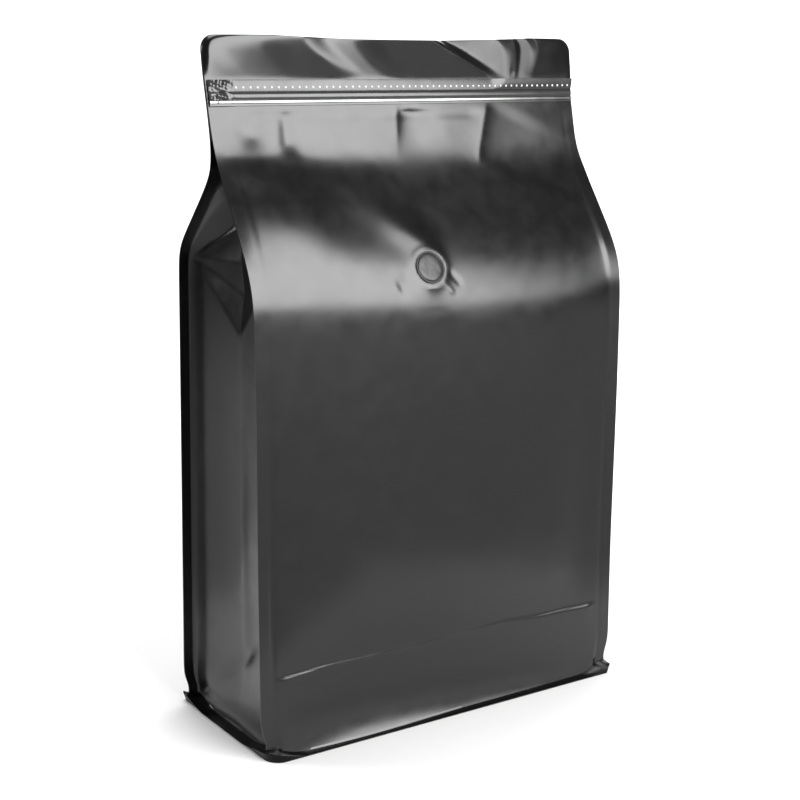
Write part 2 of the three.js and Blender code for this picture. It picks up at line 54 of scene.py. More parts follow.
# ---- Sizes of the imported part

HALF_WIDTH = 120.0  # the seal edges, left and right of the middle
HEIGHT = 376.5  # the cut top edge, at the header's corners
SIDE_SEAL = 8.0
SEAL_ROOT = HALF_WIDTH - SIDE_SEAL
CLEARANCE = 0.3

BASE_WIDTH, BASE_DEPTH = 236.5, 107.0  # the seal lip round the base
BASE_CORNER, SHARP_CORNER = 9.0, 3.0
LIP_EDGE = 0.8
LIP_RISE, LIP_CORNER_RISE = 2.0, 7.0  # where the walls leave its sides, and its corners
LIP_UNDERCUT = 0.012  # how much smaller the sole is than the lip, as a share
CORNER_REACH = 25.0
BASE_FLARE, FLARE_OUT = 14.0, 3.0  # how high and how far the walls curve out to the lip
FLARE_SQUARENESS = 0.3

TURNOUT_HEIGHT, TURNOUT_OUT = 22.0, 5.0  # how high and how far the front turns out, at its most
TURNOUT_MIDDLE = -72.0  # where across the front that is
TURNOUT_REACH = (74.0, 112.0)  # how widely it fades to the left and to the right
TURNOUT_STEEPNESS = 1.8
TURNOUT_CURVE = 30.0  # height of the gentle curve where it has faded

FRONT_AT_BASE, FRONT_AT_SHOULDER = 47.0, 48.8
BACK_AT_BASE, BACK_AT_SHOULDER = 46.5, 35.9
LEAN_OUT = (60.0, 200.0)  # the heights between which the front leans out
FRONT_SHOULDER = 253.0
SHOULDER_SAG = 2.5  # how much lower the filled front turns in between the seals
SHOULDER_TILT = 7.0  # and lower still at the right, higher at the left
FRONT_NECK_LEFT, FRONT_NECK_RIGHT = 320.0, 311.0
BACK_SHOULDER, BACK_NECK = 266.0, 307.5
FOLD_ROUNDING = 3.5
EDGE_ROUNDING, FULL_ROUNDING = 7.0, 10.0  # of the front's shoulder, at the seals and between
NECK_ROUNDING = 5.0
NECK = 322.0  # where the closed header starts
FRONT_AT_HEADER, BACK_AT_HEADER = 7.6, -5.2  # from its middle plane, at the neck
HEADER_LEAN = 0.215
HEADER_THINS = (1.3, 0.3)  # how much thinner it gets over the zipper, and under it
HEADER_STAND = 0.36  # how much straighter it stands over the zipper
STAND_FROM, STAND_BLEND = 353.5, 1.0
STAND_SQUARENESS = 0.25
HEADER_BOW, BOW_HEIGHTS = 5.0, (262.0, 322.0)
HEADER_DIP, DIP_REACH = 2.0, 90.0  # of the cut edge, in its middle
HEADER_CORNER = 8.0
PINCH = 2.5  # how far the right seal edge is pulled in beside the neck
PINCH_HEIGHTS = (300.0, 326.0, 340.0, 366.0)
BASE_PINCH = 3.0  # and both seal edges just above the lip
BASE_PINCH_HEIGHT, BASE_PINCH_REACH = 2.0, 9.0

FILLED = (0.0, 110.0, 252.0, 322.0)  # the heights where the swelling comes and goes
BULGE_SQUARENESS = 0.8
PACK_FOLD = 47.0  # height of the flat-packed bag's crease across both walls
PACK_FOLD_DEPTH, PACK_FOLD_REACH = 1.0, 24.0

GUSSET_RECESS = 6.0  # depth of a gusset's middle crease, under the shoulder
GUSSET_FULLNESS = 1.4
GUSSET_OPENS = (-10.0, 40.0)  # the heights between which its recess comes in
ROOT_FILLET = (8.0, 2.2)  # along and out of a leaf, where it runs out onto its seal
LEAST_GAP = 0.4  # between a gusset's seals
CREASE_HEIGHTS = (222.0, 243.0, 260.0, 283.0, 290.0, 296.0, 318.0)
CREASE_DEPTHS = (6.0, 9.2, 8.8, 12.6, 15.3, 15.3, 45.0)
GUSSET_RIDGE = 15.3  # the least depth that the leaves over the diamond aim at
DIAMOND_MIDDLE, DIAMOND_UP = 260.0, 23.0  # its side corners' height, and its top's over that
DIAMOND_BLEND = 0.5  # how softly the leaves turn at its upper folds

VALVE_X, VALVE_HEIGHT = -13.2, 256.3
VALVE_RADIUS = 9.0
VALVE_UNDER = 1.1  # how far its underside lies below the film
VALVE_ROOM = 0.4  # between that and the film in its hole
VALVE_HOLE = (2.4, 0.7)  # where the hole is deep and starts, in from the valve's edge
SEAT_RADIUS, SEAT_PROUD = 11.0, 0.7
SEAT_SLOPE, SEAT_BLEND = 0.4, 0.5
SEAT_REACH = 2.2  # in seat radii
# The valve's section from the middle of its underside to that of its top: (radius, height).
VALVE_SECTION = (
    (0.01, -1.1), (4, -1.1), (8.8, -1.1), (9, -0.9), (9, 0.15), (8.85, 0.38), (8.5, 0.5), (8.1, 0.46),
    (7.8, 0.2), (7.55, 0.08), (7.3, 0.2), (7, 0.3), (5, 0.34), (2.5, 0.36), (0.01, 0.37),
)
VALVE_SIDES = 96
RIM_FROM, RIM_UNEVEN = 7.6, 0.03  # the rim's inner radius, and how far it rises and sinks

ZIP_BOTTOM, TAB_BOTTOM, ZIP_TOP = 340.8, 348.0, 354.0
ZIP_HALF_LENGTH = 119.3
STRIP_STEPS = 480
STRIP_THICKNESS, STRIP_FOOT = 0.3, 0.25
TAB_MIDDLE, TAB_HALF = 351.0, 3.2
TAB_CROWN = 0.4  # how much thicker the tab is in its middle
TAB_HEIGHTS = np.linspace(ZIP_TOP, TAB_BOTTOM, 13)
TAB_TURN, TURN_PLACES = 0.22, (56.0, 68.0)  # how much its right part faces down, from where on
RAIL_TOP, RAIL_WIDTH = 347.3, 3.0  # of the upper, rounded rail
RAIL_STEPS, RAIL_ARCH = 8, 4.2  # half the arch's span, in steps
RAIL_CROWN = 0.6  # how far it stands out, as a share of the lower rail
RAIL_FLAT = (343.3, 342.3)  # the heights between which the lower rail is flat
RAIL_FLANK, RAIL_FOOT = 0.4, 0.35  # height of its flanks, and thickness at their feet
RAIL_TILT = 0.1  # how much further out its upper edge stands
RAIL_IOR = 1.9
DOT_HEIGHT, DOT_FIRST, DOT_PITCH = 350.0, -104.0, 4.0
DOT_FOOT, DOT_FLATNESS = 0.65, 0.8
DOT_RINGS, DOT_SIDES = (-40, 0, 35, 65), 10  # degrees over its widest ring
CRUSH_PLACES = (9.0, 16.0)  # where the crushed end starts to smooth out, and is smooth
CRUSH_HEIGHTS = (342.0, 345.0)  # where its waves start, and are full
CRUSH_LIFT = (0.5, 0.4)  # how far it is lifted, and the size of the waves


# ---- What a user may change


def length(name, default, low, high, description):
    """A length, stated here in millimetres."""
    return FloatProperty(
        name=name, description=description,
        default=default * MM, min=low * MM, max=high * MM, unit="LENGTH",
    )


def colour(name, default, description):
    return FloatVectorProperty(
        name=name, description=description, default=default, min=0, max=1, size=3, subtype="COLOR"
    )


class PouchSizes(PropertyGroup):
    """Sizes that change the pouch's look and leave its outer size alone."""

    film: length("Film", 0.6, 0.2, 1.2, "Thickness of a seal fin")
    front_bulge: length("Front bulge", 5, 0, 8, "How far the filled front stands out between its seals")
    back_bulge: length("Back bulge", 4, 0, 8, "How far the filled back stands out between its seals")
    creasing: FloatProperty(
        name="Creasing", description="Depth of the film's folds and dents, as a share of the part's",
        default=1, min=0, max=1.5, subtype="FACTOR",
    )
    rail_proud: length("Rail", 0.9, 0.3, 1.2, "How far each closing rail stands out of its strip")
    bump_radius: length("Bump", 0.62, 0.3, 1.2, "Radius of the small bumps along the tear tab")


class PouchFinish(PropertyGroup):
    """Colours and gloss of the film, the valve and the zipper."""

    film_colour: colour("Film", (0.002, 0.002, 0.0021), "Colour of the satin film")
    film_roughness: FloatProperty(
        name="Film roughness", description="Roughness of the satin film",
        default=0.23, min=0, max=1, subtype="FACTOR",
    )
    valve_colour: colour("Valve", (0.014, 0.014, 0.0145), "Colour of the film pressed over the valve")
    zip_colour: colour("Zipper", (0.02, 0.02, 0.0205), "Colour of the zipper's strips")
    bump_colour: colour("Bumps", (0.7, 0.7, 0.7), "Colour of the bumps along the tear tab")


class PouchStudio(PropertyGroup):
    """The floor, the lights and the surroundings."""

    floor_colour: colour("Floor", (0.8, 0.8, 0.8), "Colour of the floor and the backdrop")
    table_colour: colour("Table", (0.4, 0.4, 0.4), "Colour of the table under the floor sheet")
    key_radiance: FloatProperty(
        name="Key light", description="Brightness of the large soft lights in front, white being 1",
        default=12, min=0, max=100,
    )
    world_strength: FloatProperty(
        name="Surroundings", description="Brightness of the plain surroundings",
        default=0.14, min=0, max=2,
    )


# ---- Blends


def smooth_step(start, end, value):
    """0 below start and 1 above end, with 3t^2 - 2t^3 between them."""
    t = np.clip((value - start) / (end - start), 0, 1)
    return t * t * (3 - 2 * t)


def turn_after(distance, blend):
    """How far a sheet that turns by a unit slope at a fold has moved at a distance past it:
    blend * ln(1 + e^(distance / blend))."""
    return blend * np.logaddexp(0, distance / blend)


def rounded_ramp(start, end, blends, value):
    """Climbs from 0 at start to 1 at end in a straight line, with its foot and its top rounded."""
    foot, top = blends
    return (turn_after(value - start, foot) - turn_after(value - end, top)) / (end - start)


def arch(x, half_span):
    """1 - (x / half)^2: 1 in the middle of a span and 0 at its ends and beyond."""
    return 1 - np.minimum(1, np.abs(x) / half_span) ** 2


def hump(value, middle, width):
    """A bell round the middle: e^-((v - m) / w)^2."""
    return np.exp(-(((value - middle) / width) ** 2))


def plateau(start, full, full_to, end, value):
    """Rises from 0 at start to 1 at full, and falls from there to 0 between full_to and end."""
    return smooth_step(start, full, value) * (1 - smooth_step(full_to, end, value))


def window(value, low, high, soft):
    """1 between low and high, and 0 outside them, over edges that reach `soft` to either side."""
    return plateau(low - soft, low + soft, high - soft, high + soft, value)


def line_frame(x, z, start, end):
    """The place along a line from start to end, 0 to 1, and the distance to its left."""
    run_x, run_z = end[0] - start[0], end[1] - start[1]
    run = np.hypot(run_x, run_z)
    off_x, off_z = x - start[0], z - start[1]
    return (off_x * run_x + off_z * run_z) / run**2, (run_x * off_z - run_z * off_x) / run


def welt(x, z, start, end, widths, height, taper=0.25):
    """A soft ridge along a line, or a groove: a bell across it, whose width runs from one value to
    another, and a smooth rise and fall at its ends."""
    place, aside = line_frame(x, z, start, end)
    width = widths[0] + (widths[1] - widths[0]) * np.clip(place, 0, 1)
    return height * hump(aside, 0, width) * plateau(0, taper, 1 - taper, 1, place)


def lean_strip(x, z, middle, slant, halves, slopes, soft):
    """A slanting strip of the header: minus a slope back times the height over the hinge, plus a
    slope to the left times the distance from its middle line, coming in as 1 - e^(-height / 4).
    Half its width runs from one value at the zipper to another at twice STRIP_MIDDLE over it."""
    above = z - ZIP_TOP
    aside = x - middle + slant * (above - STRIP_MIDDLE)
    half = halves[0] + (halves[1] - halves[0]) * above / (2 * STRIP_MIDDLE)
    rise = turn_after(z - STAND_FROM, STAND_BLEND)
    slope_back, slope_left = slopes
    moved = slope_left * aside * (1 - np.exp(-rise / STRIP_TURN)) - slope_back * rise
    return moved * window(aside, -half, half, soft)


# ---- The pouch's form


def header_lean(z):
    """The header's middle plane: leans back by HEADER_LEAN for each mm above the neck."""
    return HEADER_LEAN * turn_after(z - NECK, FOLD_ROUNDING)


def front_seam(x, z):
    """The front without its bulge: the seal edges go up the wall, in over the shoulder and back
    with the header. Between them the filled film turns in lower and more softly."""
    between = np.sqrt(arch(x, SEAL_ROOT))
    shoulder = FRONT_SHOULDER - (SHOULDER_SAG + SHOULDER_TILT * x / HALF_WIDTH) * between
    rounding = EDGE_ROUNDING + (FULL_ROUNDING - EDGE_ROUNDING) * between
    neck = FRONT_NECK_LEFT + (FRONT_NECK_RIGHT - FRONT_NECK_LEFT) * (x / HALF_WIDTH + 1) / 2
    wall = FRONT_AT_BASE + (FRONT_AT_SHOULDER - FRONT_AT_BASE) * smooth_step(*LEAN_OUT, z)
    turned = rounded_ramp(shoulder, neck, (rounding, NECK_ROUNDING), z)
    return header_lean(z) - wall - (FRONT_AT_HEADER - wall) * turned


def back_seam(z):
    """The back seal edge: up the leaning wall, in over its shoulder, and back with the header."""
    wall = BACK_AT_BASE + (BACK_AT_SHOULDER - BACK_AT_BASE) * z / BACK_SHOULDER
    turned = rounded_ramp(BACK_SHOULDER, BACK_NECK, (FOLD_ROUNDING, FOLD_ROUNDING), z)
    return wall + (BACK_AT_HEADER - wall) * turned + header_lean(z)


def header_bow(x, z):
    """The forward bow of the header, an arch from seal to seal, which the front takes on below."""
    return HEADER_BOW * arch(x, HALF_WIDTH) * smooth_step(*BOW_HEIGHTS, z)


def pulled_in(x, z):
    """Where a place across the front lies, with the right seal edge pulled in beside the neck, and
    both seal edges just above the lip."""
    pull = PINCH * plateau(*PINCH_HEIGHTS, z) * smooth_step(0, HALF_WIDTH, x)
    base_pull = BASE_PINCH * hump(z, BASE_PINCH_HEIGHT, BASE_PINCH_REACH) * (x / HALF_WIDTH) ** 3
    return x - pull - base_pull


def base_flare(z):
    """How far the walls stand out just above the lip: a parabola that ends at BASE_FLARE."""
    return FLARE_OUT * (1 - np.minimum(1, z / BASE_FLARE)) ** 2


def stand_out(x, z, bulge):
    """How far a wall stands out of its seals: an arch swollen by the contents, with the straight
    crease of the flat-packed bag across it."""
    fold = PACK_FOLD_DEPTH * np.maximum(0, 1 - np.abs(z - PACK_FOLD) / PACK_FOLD_REACH)
    swollen = (bulge * plateau(*FILLED, z) - fold) * arch(x, SEAL_ROOT) ** BULGE_SQUARENESS
    return swollen + base_flare(z) * arch(x, SEAL_ROOT) ** FLARE_SQUARENESS


def front_face(x, z, bulge):
    """The plain front, without its folds and dents."""
    return front_seam(x, z) - stand_out(x, z, bulge) - header_bow(x, z)


def back_face(x, z, bulge):
    """The plain back. The header thins out up to the zipper, and on to its cut edge."""
    over, under = HEADER_THINS
    thinned = over * smooth_step(ZIP_TOP, HEIGHT, z) + under * smooth_step(NECK, ZIP_BOTTOM, z)
    bow = header_bow(x, z) * smooth_step(BACK_NECK, NECK, z)
    return back_seam(z) + stand_out(x, z, bulge) - bow - thinned


def crease_depth(z):
    """How deep a gusset's middle crease lies, in straight runs between the listed heights."""
    return np.interp(z, CREASE_HEIGHTS, CREASE_DEPTHS)


def gusset_depth(across, z):
    """The gusset's depth, from 0 at a seal root (across 0) to its middle crease (across 1): round
    leaves, with the flat facets of the shoulder's diamond and of the valley under it, which start
    from the diamond's side corners, and flat leaves over the diamond. It is the smaller of both
    depths, taken softly: -b * ln(e^(-over / b) + e^(-under / b))."""
    above = z - DIAMOND_MIDDLE
    safe = np.maximum(across, TINY)
    over = across * np.maximum(GUSSET_RIDGE, crease_depth(z))
    facets = across * (crease_depth(DIAMOND_MIDDLE + above / safe) - GUSSET_RECESS)
    up_to_fold = np.clip(above / (DIAMOND_UP * safe), 0, 1)
    full = (1 - (1 - across) ** GUSSET_FULLNESS) * (1 - up_to_fold) + across * up_to_fold
    under = facets + GUSSET_RECESS * full * smooth_step(*GUSSET_OPENS, z)
    blend = DIAMOND_BLEND * np.minimum(1, 4 * across) + SMALL
    return -blend * np.logaddexp(-over / blend, -under / blend)


# ---- Folds and dents of the front

# All places in these lists are (x, z), and a negative height makes a dent.
SEAL_LINE = (0.25, 0.05, 0.9)  # its depths under the shoulder and over it, and its width
SEAL_LINE_FADES, SEAL_LINE_ENDS = (215, 245), (10, 334, 4)
VALVE_FOLD, VALVE_FOLD_WIDTHS, VALVE_FOLD_HEIGHT = ((-64, 308), (-9, 266)), (13, 7), 1.2
# Welts: start, end, the widths there, height, and the share that each end takes if not a quarter.
VALVE_DARTS = (
    ((-4, 255), (6, 245), (1.5, 1.2), -0.45),
    ((-8, 250), (0, 241), (1.3, 1.1), 0.4),
    ((-26, 252), (-36, 246), (4, 4), -0.4),
)
NECK_GROOVE = ((-77, 340), (-78, 312), (3.8, 6.0), -1.1, 0.4)
HEADER_DART = ((74, 382), (74, 350), (1.4, 1.4), -0.4)
BACK_NECK_DARTS = (((-40, 342), (-52, 306), (4, 2), -1.2), ((64, 342), (60, 312), (3, 3), -0.8))
BACK_HEADER_FOLD = ((30, 382), (-20, 350), (8, 5), 0.8)
GUSSET_FOLD = ((-28, 58), (28, 16), (3.5, 3.5), 0.8, 0.4)  # its places are (y, z)

# Step folds: start, end, drop at the right, rise at the line, reach.
NECK_WEDGE = ((-9, 340), (-14, 304), 1.0, 0.1, 5)
NECK_RIDGE = ((54, 342), (41, 307), 0.5, 0.5, 6)
# Swells: height, middle and width across, middle and width up.
NECK_HOLLOW = (-1.2, -99, 8, 328, 7)
FRONT_SWELLS = ((0.35, -60, 26, 120, 60), (0.3, 10, 30, 200, 40))
GUSSET_SWELLS = ((0.5, 14, 12, 150, 60), (-0.4, -16, 10, 110, 50))
# Hollows: height, middle and width across, (lower end, upper end, softness).
FRONT_HOLLOW = (-1.2, 96, 16, (60, 212, 24))
BACK_HOLLOWS = ((0.8, -70, 24, (60, 220, 30)), (-0.7, 30, 26, (80, 240, 30)))

# Strips of the header: middle, slant, half widths, slopes back and to the left, softness.
HEADER_STRIPS = (
    (-93.5, 0.9, (16, 16), (0.03, 0), 7),
    (-31, 1.1, (12, 16), (0.125, 0), 10),
    (59, 1.0, (5, 23), (0.205, 0.065), 6),
    (83, 0.0, (6.5, 6.5), (0.085, 0.09), 2.5),
)
STRIP_MIDDLE = 10.0  # the height over the zipper that their middles are given for
STRIP_TURN = 4.0


def seal_grooves(x, z):
    """The thin line on the front where each gusset is sealed to it."""
    low, high, width = SEAL_LINE
    height = (low - high) * smooth_step(*SEAL_LINE_FADES, z) - low
    return height * hump(np.abs(x), SEAL_ROOT, width) * window(z, *SEAL_LINE_ENDS)


def swell(x, z, height, middle_x, width_x, middle_z, width_z):
    """Its height times a bell across and a bell up."""
    return height * hump(x, middle_x, width_x) * hump(z, middle_z, width_z)


def hollow(x, z, height, middle_x, width_x, ends):
    """Its height times a bell across, between two ends."""
    return height * hump(x, middle_x, width_x) * window(z, *ends)


def step_fold(x, z, start, end, drop, rise, reach):
    """A folded edge along a line that runs down: the film climbs to it from the left, and falls
    away at its right, both as e^(-distance / reach)."""
    place, right = line_frame(x, z, start, end)
    near = np.exp(-np.abs(right) / reach)
    moved = np.where(right > 0, rise * near - drop * (1 - near), rise * near)
    return moved * plateau(-0.1, 0.15, 0.8, 1.05, place)


def valve_folds(x, z):
    """The long soft fold that runs down to the valve, and the short darts round the valve."""
    place, aside = line_frame(x, z, *VALVE_FOLD)
    wide, narrow = VALVE_FOLD_WIDTHS
    bell = hump(aside, 0, wide + (narrow - wide) * np.clip(place, 0, 1))
    folds = VALVE_FOLD_HEIGHT * bell * plateau(0, 0.8, 0.9, 1.1, place)
    for dart in VALVE_DARTS:
        folds += welt(x, z, *dart)
    return folds


def neck_dents(x, z):
    """The dents that the closed zipper presses into the film under it: a groove and a hollow at
    the left, a wedge, a ridge, and a shallow groove along it. They are weaker behind it."""
    under_zip = 1 - smooth_step(336, 341, z)
    dents = welt(x, z, *NECK_GROOVE) + swell(x, z, *NECK_HOLLOW)
    wedge = step_fold(x, z, *NECK_WEDGE) * (1 - smooth_step(-6, 24, x))
    dents += wedge * smooth_step(308, 332, z)
    dents += step_fold(x, z, *NECK_RIDGE) * (1 - smooth_step(70, 118, x))
    dents += -0.3 * window(x, -96, 44, 6) * window(z, 333, 337.5, 2)
    return dents * (0.4 + 0.6 * under_zip)


def header_folds(x, z):
    """The film over the zipper: it stands up straighter than its seal edges, with strips that lean
    back, and a dart at its right."""
    between = arch(x, HALF_WIDTH) ** STAND_SQUARENESS
    folds = HEADER_STAND * turn_after(z - STAND_FROM, STAND_BLEND) * between
    for strip in HEADER_STRIPS:
        folds += lean_strip(x, z, *strip)
    return folds + smooth_step(ZIP_TOP - 1, ZIP_TOP + 4, z) * welt(x, z, *HEADER_DART)


def base_turnout(x, z):
    """How the front turns out to the lip, less the plain flare: a steep curve (1 - z / top)^1.8,
    whose size and height follow a bell across the front that is wider at its right, and a long
    gentle curve for what the bell leaves of the flare."""
    reach = np.where(x < TURNOUT_MIDDLE, *TURNOUT_REACH)
    share = hump(x, TURNOUT_MIDDLE, reach)
    top = TURNOUT_HEIGHT * np.sqrt(share) + SMALL
    steep = TURNOUT_OUT * share * (1 - np.clip(z / top, 0, 1)) ** TURNOUT_STEEPNESS
    plain = arch(x, SEAL_ROOT) ** FLARE_SQUARENESS
    rest = np.maximum(0, FLARE_OUT - TURNOUT_OUT * share) * plain
    gentle = rest * (1 - np.clip(z / TURNOUT_CURVE, 0, 1)) ** 2
    return steep * plain + gentle - base_flare(z) * plain


def pack_crease(x, z):
    """The small step that the flat-packed bag's fold leaves across the filled front, along a line
    that sags towards the seals and wavers. Under it the film stands out by 0.65 - 0.2 cos(x / 30),
    and comes back to the wall as e^-(distance / 12)."""
    line = PACK_FOLD - 2.8 * (x / SEAL_ROOT) ** 2 + 0.8 * np.sin(x / 17) + 0.3 * np.sin(x / 6.3 + 1)
    above = z - line
    step = (1 - smooth_step(-1.4, 1.4, above)) * np.exp(np.minimum(0, above) / 12)
    return (0.65 - 0.2 * np.cos(x / 30)) * step * window(x, -108, 106, 4)


def panel_waves(x, z):
    """The shallow waves of a film that is only partly pressed out by its contents, with a fuller
    left end of the shoulder, 3 mm further out."""
    waves = hollow(x, z, *FRONT_HOLLOW)
    waves += 3.0 * plateau(-126, -108, -98, -50, x) * plateau(254, 288, 290, 316, z)
    for place in FRONT_SWELLS:
        waves += swell(x, z, *place)
    return waves


def front_relief(x, z):
    """All that stands out of the plain front, or lies in it."""
    folds = valve_folds(x, z) + neck_dents(x, z) + header_folds(x, z) + pack_crease(x, z)
    return seal_grooves(x, z) + folds + panel_waves(x, z) + base_turnout(x, z)


def back_relief(x, z):
    """The back's own shallow waves, seal lines and header folds."""
    waves = sum(hollow(x, z, *place) for place in BACK_HOLLOWS)
    neck = sum(welt(x, z, *dart) for dart in BACK_NECK_DARTS)
    header = welt(x, z, *BACK_HEADER_FOLD) * smooth_step(ZIP_TOP - 4, ZIP_TOP + 4, z)
    return seal_grooves(x, z) + waves + neck + header


def gusset_relief(y, z, place):
    """Low folds of a gusset, which die away towards both seals as 1 - place^2."""
    waves = sum(swell(y, z, *low) for low in GUSSET_SWELLS)
    return (welt(y, z, *GUSSET_FOLD) + waves) * (1 - place**2)


# ---- Where the valve sits


def valve_seat(bulge):
    """The middle of the flat that the valve presses into the front, and its tilt: the line between
    the plain film one radius over the valve's middle and one radius under it."""
    over = float(front_face(VALVE_X, VALVE_HEIGHT + VALVE_RADIUS, bulge))
    under = float(front_face(VALVE_X, VALVE_HEIGHT - VALVE_RADIUS, bulge))
    return (over + under) / 2 - SEAT_PROUD, (over - under) / (2 * VALVE_RADIUS)


def seat_film(x, z, y, bulge):
    """Draws the front over the valve: to whichever stands further out, the film or a flat round
    seat with a slope round it, softly, and down into a hole inside the valve's edge."""
    middle, lean = valve_seat(bulge)
    slant = np.hypot(1, lean)
    radius = np.hypot(x - VALVE_X, (z - VALVE_HEIGHT) * slant)
    fall = SEAT_SLOPE * np.maximum(0, radius - SEAT_RADIUS)
    seat = middle + lean * (z - VALVE_HEIGHT) + fall
    drawn = -SEAT_BLEND * np.logaddexp(-y / SEAT_BLEND, -seat / SEAT_BLEND)
    drawn = np.where(radius < SEAT_REACH * SEAT_RADIUS, drawn, y)
    low, edge = VALVE_HOLE
    hole = 1 - smooth_step(VALVE_RADIUS - low, VALVE_RADIUS - edge, radius)
    return drawn + (VALVE_UNDER + VALVE_ROOM) * slant * hole


# ---- The film as one closed grid

PANEL_STEPS, BACK_STEPS, FIN_STEPS, LEAF_STEPS, LIP_STEPS = 164, 76, 5, 56, 5
LEAF_CROWDING = 0.4  # how much closer a gusset's columns lie beside the seals


def wall_places(steps):
    """Places across a wall from its left seal edge to its right one."""
    seal = np.linspace(SEAL_ROOT, HALF_WIDTH, FIN_STEPS + 1)[1:]
    return np.concatenate([-seal[::-1], np.linspace(-SEAL_ROOT, SEAL_ROOT, steps + 1), seal])


FRONT_X, BACK_X = wall_places(PANEL_STEPS), wall_places(BACK_STEPS)[::-1]


def placed(x, y, z, height=None):
    """Points as one array, pulled in as at z, and lying at z unless another height is given."""
    height = z if height is None else height
    return np.stack(np.broadcast_arrays(pulled_in(x, z), y, height), axis=-1)


def stretches(*pieces):
    """Heights over several stretches, each (from, to, steps), without the first one's start."""
    return np.concatenate([np.linspace(a, b, n + 1)[1:] for a, b, n in pieces])


BODY_HEIGHTS = stretches(
    (0, 16, 15), (16, 40, 12), (40, 54, 13), (54, 220, 61),
    (220, 256, 26), (256, 294, 42), (294, 308, 9), (308, NECK, 13),
)
ROUND_TOP = HEIGHT - HEADER_CORNER * (1 - np.sin(np.radians([12, 24, 36, 48, 60, 72, 82, 90])))
HEADER_HEIGHTS = stretches((NECK + 0.2, 341, 15), (341, 355, 9), (355, HEIGHT - HEADER_CORNER, 11))
HEADER_HEIGHTS = np.concatenate([HEADER_HEIGHTS, ROUND_TOP])


def gusset_columns():
    """For each point of a gusset's section from its front seal edge to its back one: its place
    across from -1 to 1, and how far in over the seal it lies, from 0 at the edge to 1."""
    fin = np.linspace(0, 1, FIN_STEPS + 1)[:-1]
    even = np.linspace(-1, 1, LEAF_STEPS + 1)
    leaf = (1 - LEAF_CROWDING) * even + LEAF_CROWDING * np.sin(even * np.pi / 2)
    place = np.concatenate([-np.ones(FIN_STEPS), leaf, np.ones(FIN_STEPS)])
    into = np.concatenate([fin, np.ones(LEAF_STEPS + 1), fin[::-1]])
    return place, into


def gusset_wall(side, z, film):
    """One gusset over the heights z, from the front seal's inner face over both leaves to the back
    seal's. Each leaf runs out onto its seal in a quarter of an ellipse."""
    place, into = gusset_columns()
    front = front_seam(side * HALF_WIDTH, z) + film
    back = np.maximum(back_seam(z) - film, front + LEAST_GAP)
    y = (front + back) / 2 + place * (back - front) / 2
    depth = gusset_depth(1 - np.abs(place), z) - base_flare(z) * (1 - place**4)
    depth = depth + gusset_relief(y, z, place)
    along = np.minimum(ROOT_FILLET[0], (back - front) / 4)
    out = along * ROOT_FILLET[1] / ROOT_FILLET[0]
    short = np.maximum(0, 1 - (1 - np.abs(place)) * (back - front) / (2 * along))
    leaf = SEAL_ROOT - depth + out * (1 - np.sqrt(1 - short**2))
    x = side * np.where(into == 1, leaf, HALF_WIDTH - (SIDE_SEAL - out) * into)
    return placed(x, y - header_bow(x, z) * smooth_step(BACK_NECK, NECK, z), z)


def body_rows(z, sizes):
    """Rings of the body at the heights z, anticlockwise from above, from the front left edge."""
    film, bulge, creasing = sizes.film / MM, sizes.front_bulge / MM, sizes.creasing
    front_y = front_face(FRONT_X, z, bulge) - creasing * front_relief(FRONT_X, z)
    front = placed(FRONT_X, seat_film(FRONT_X, z, front_y, bulge), z)
    pressed = creasing * neck_dents(BACK_X, z) * smooth_step(NECK - 14, NECK - 2, z)
    back_y = back_face(BACK_X, z, sizes.back_bulge / MM) + creasing * back_relief(BACK_X, z) - pressed
    right, left = gusset_wall(1, z, film), gusset_wall(-1, z, film)[:, ::-1]
    return np.concatenate([front, right, placed(BACK_X, back_y, z), left], axis=1)


def header_rows(z, sizes):
    """Rings of the closed header. Its top corners are round and its cut edge dips in the middle."""
    creasing = sizes.creasing
    above = np.maximum(0, z - (HEIGHT - HEADER_CORNER))
    cut = HEADER_CORNER - np.sqrt(np.maximum(0, HEADER_CORNER**2 - above**2))
    narrow = (HALF_WIDTH - cut) / HALF_WIDTH
    share = np.maximum(0, (z - ZIP_TOP) / (HEIGHT - ZIP_TOP))
    step = np.linspace(0, 1, len(gusset_columns()[0]) + 2)[1:-1]

    def wall(x, y):
        return placed(x * narrow, y, z, z - HEADER_DIP * share * arch(x, DIP_REACH))

    def end(side, near, far):
        return placed(side * HALF_WIDTH * narrow, near[:, None] + (far - near)[:, None] * step, z)

    front = wall(FRONT_X, front_face(FRONT_X, z, 0) - creasing * front_relief(FRONT_X, z))
    pressed = creasing * (header_folds(BACK_X, z) + neck_dents(BACK_X, z))
    relief = creasing * back_relief(BACK_X, z) * (1 - share)
    back = wall(BACK_X, back_face(BACK_X, z, 0) - pressed + relief)
    right = end(1, front[:, -1, 1], back[:, 0, 1])
    left = end(-1, front[:, 0, 1], back[:, -1, 1])[:, ::-1]
    return np.concatenate([front, right, back, left], axis=1)


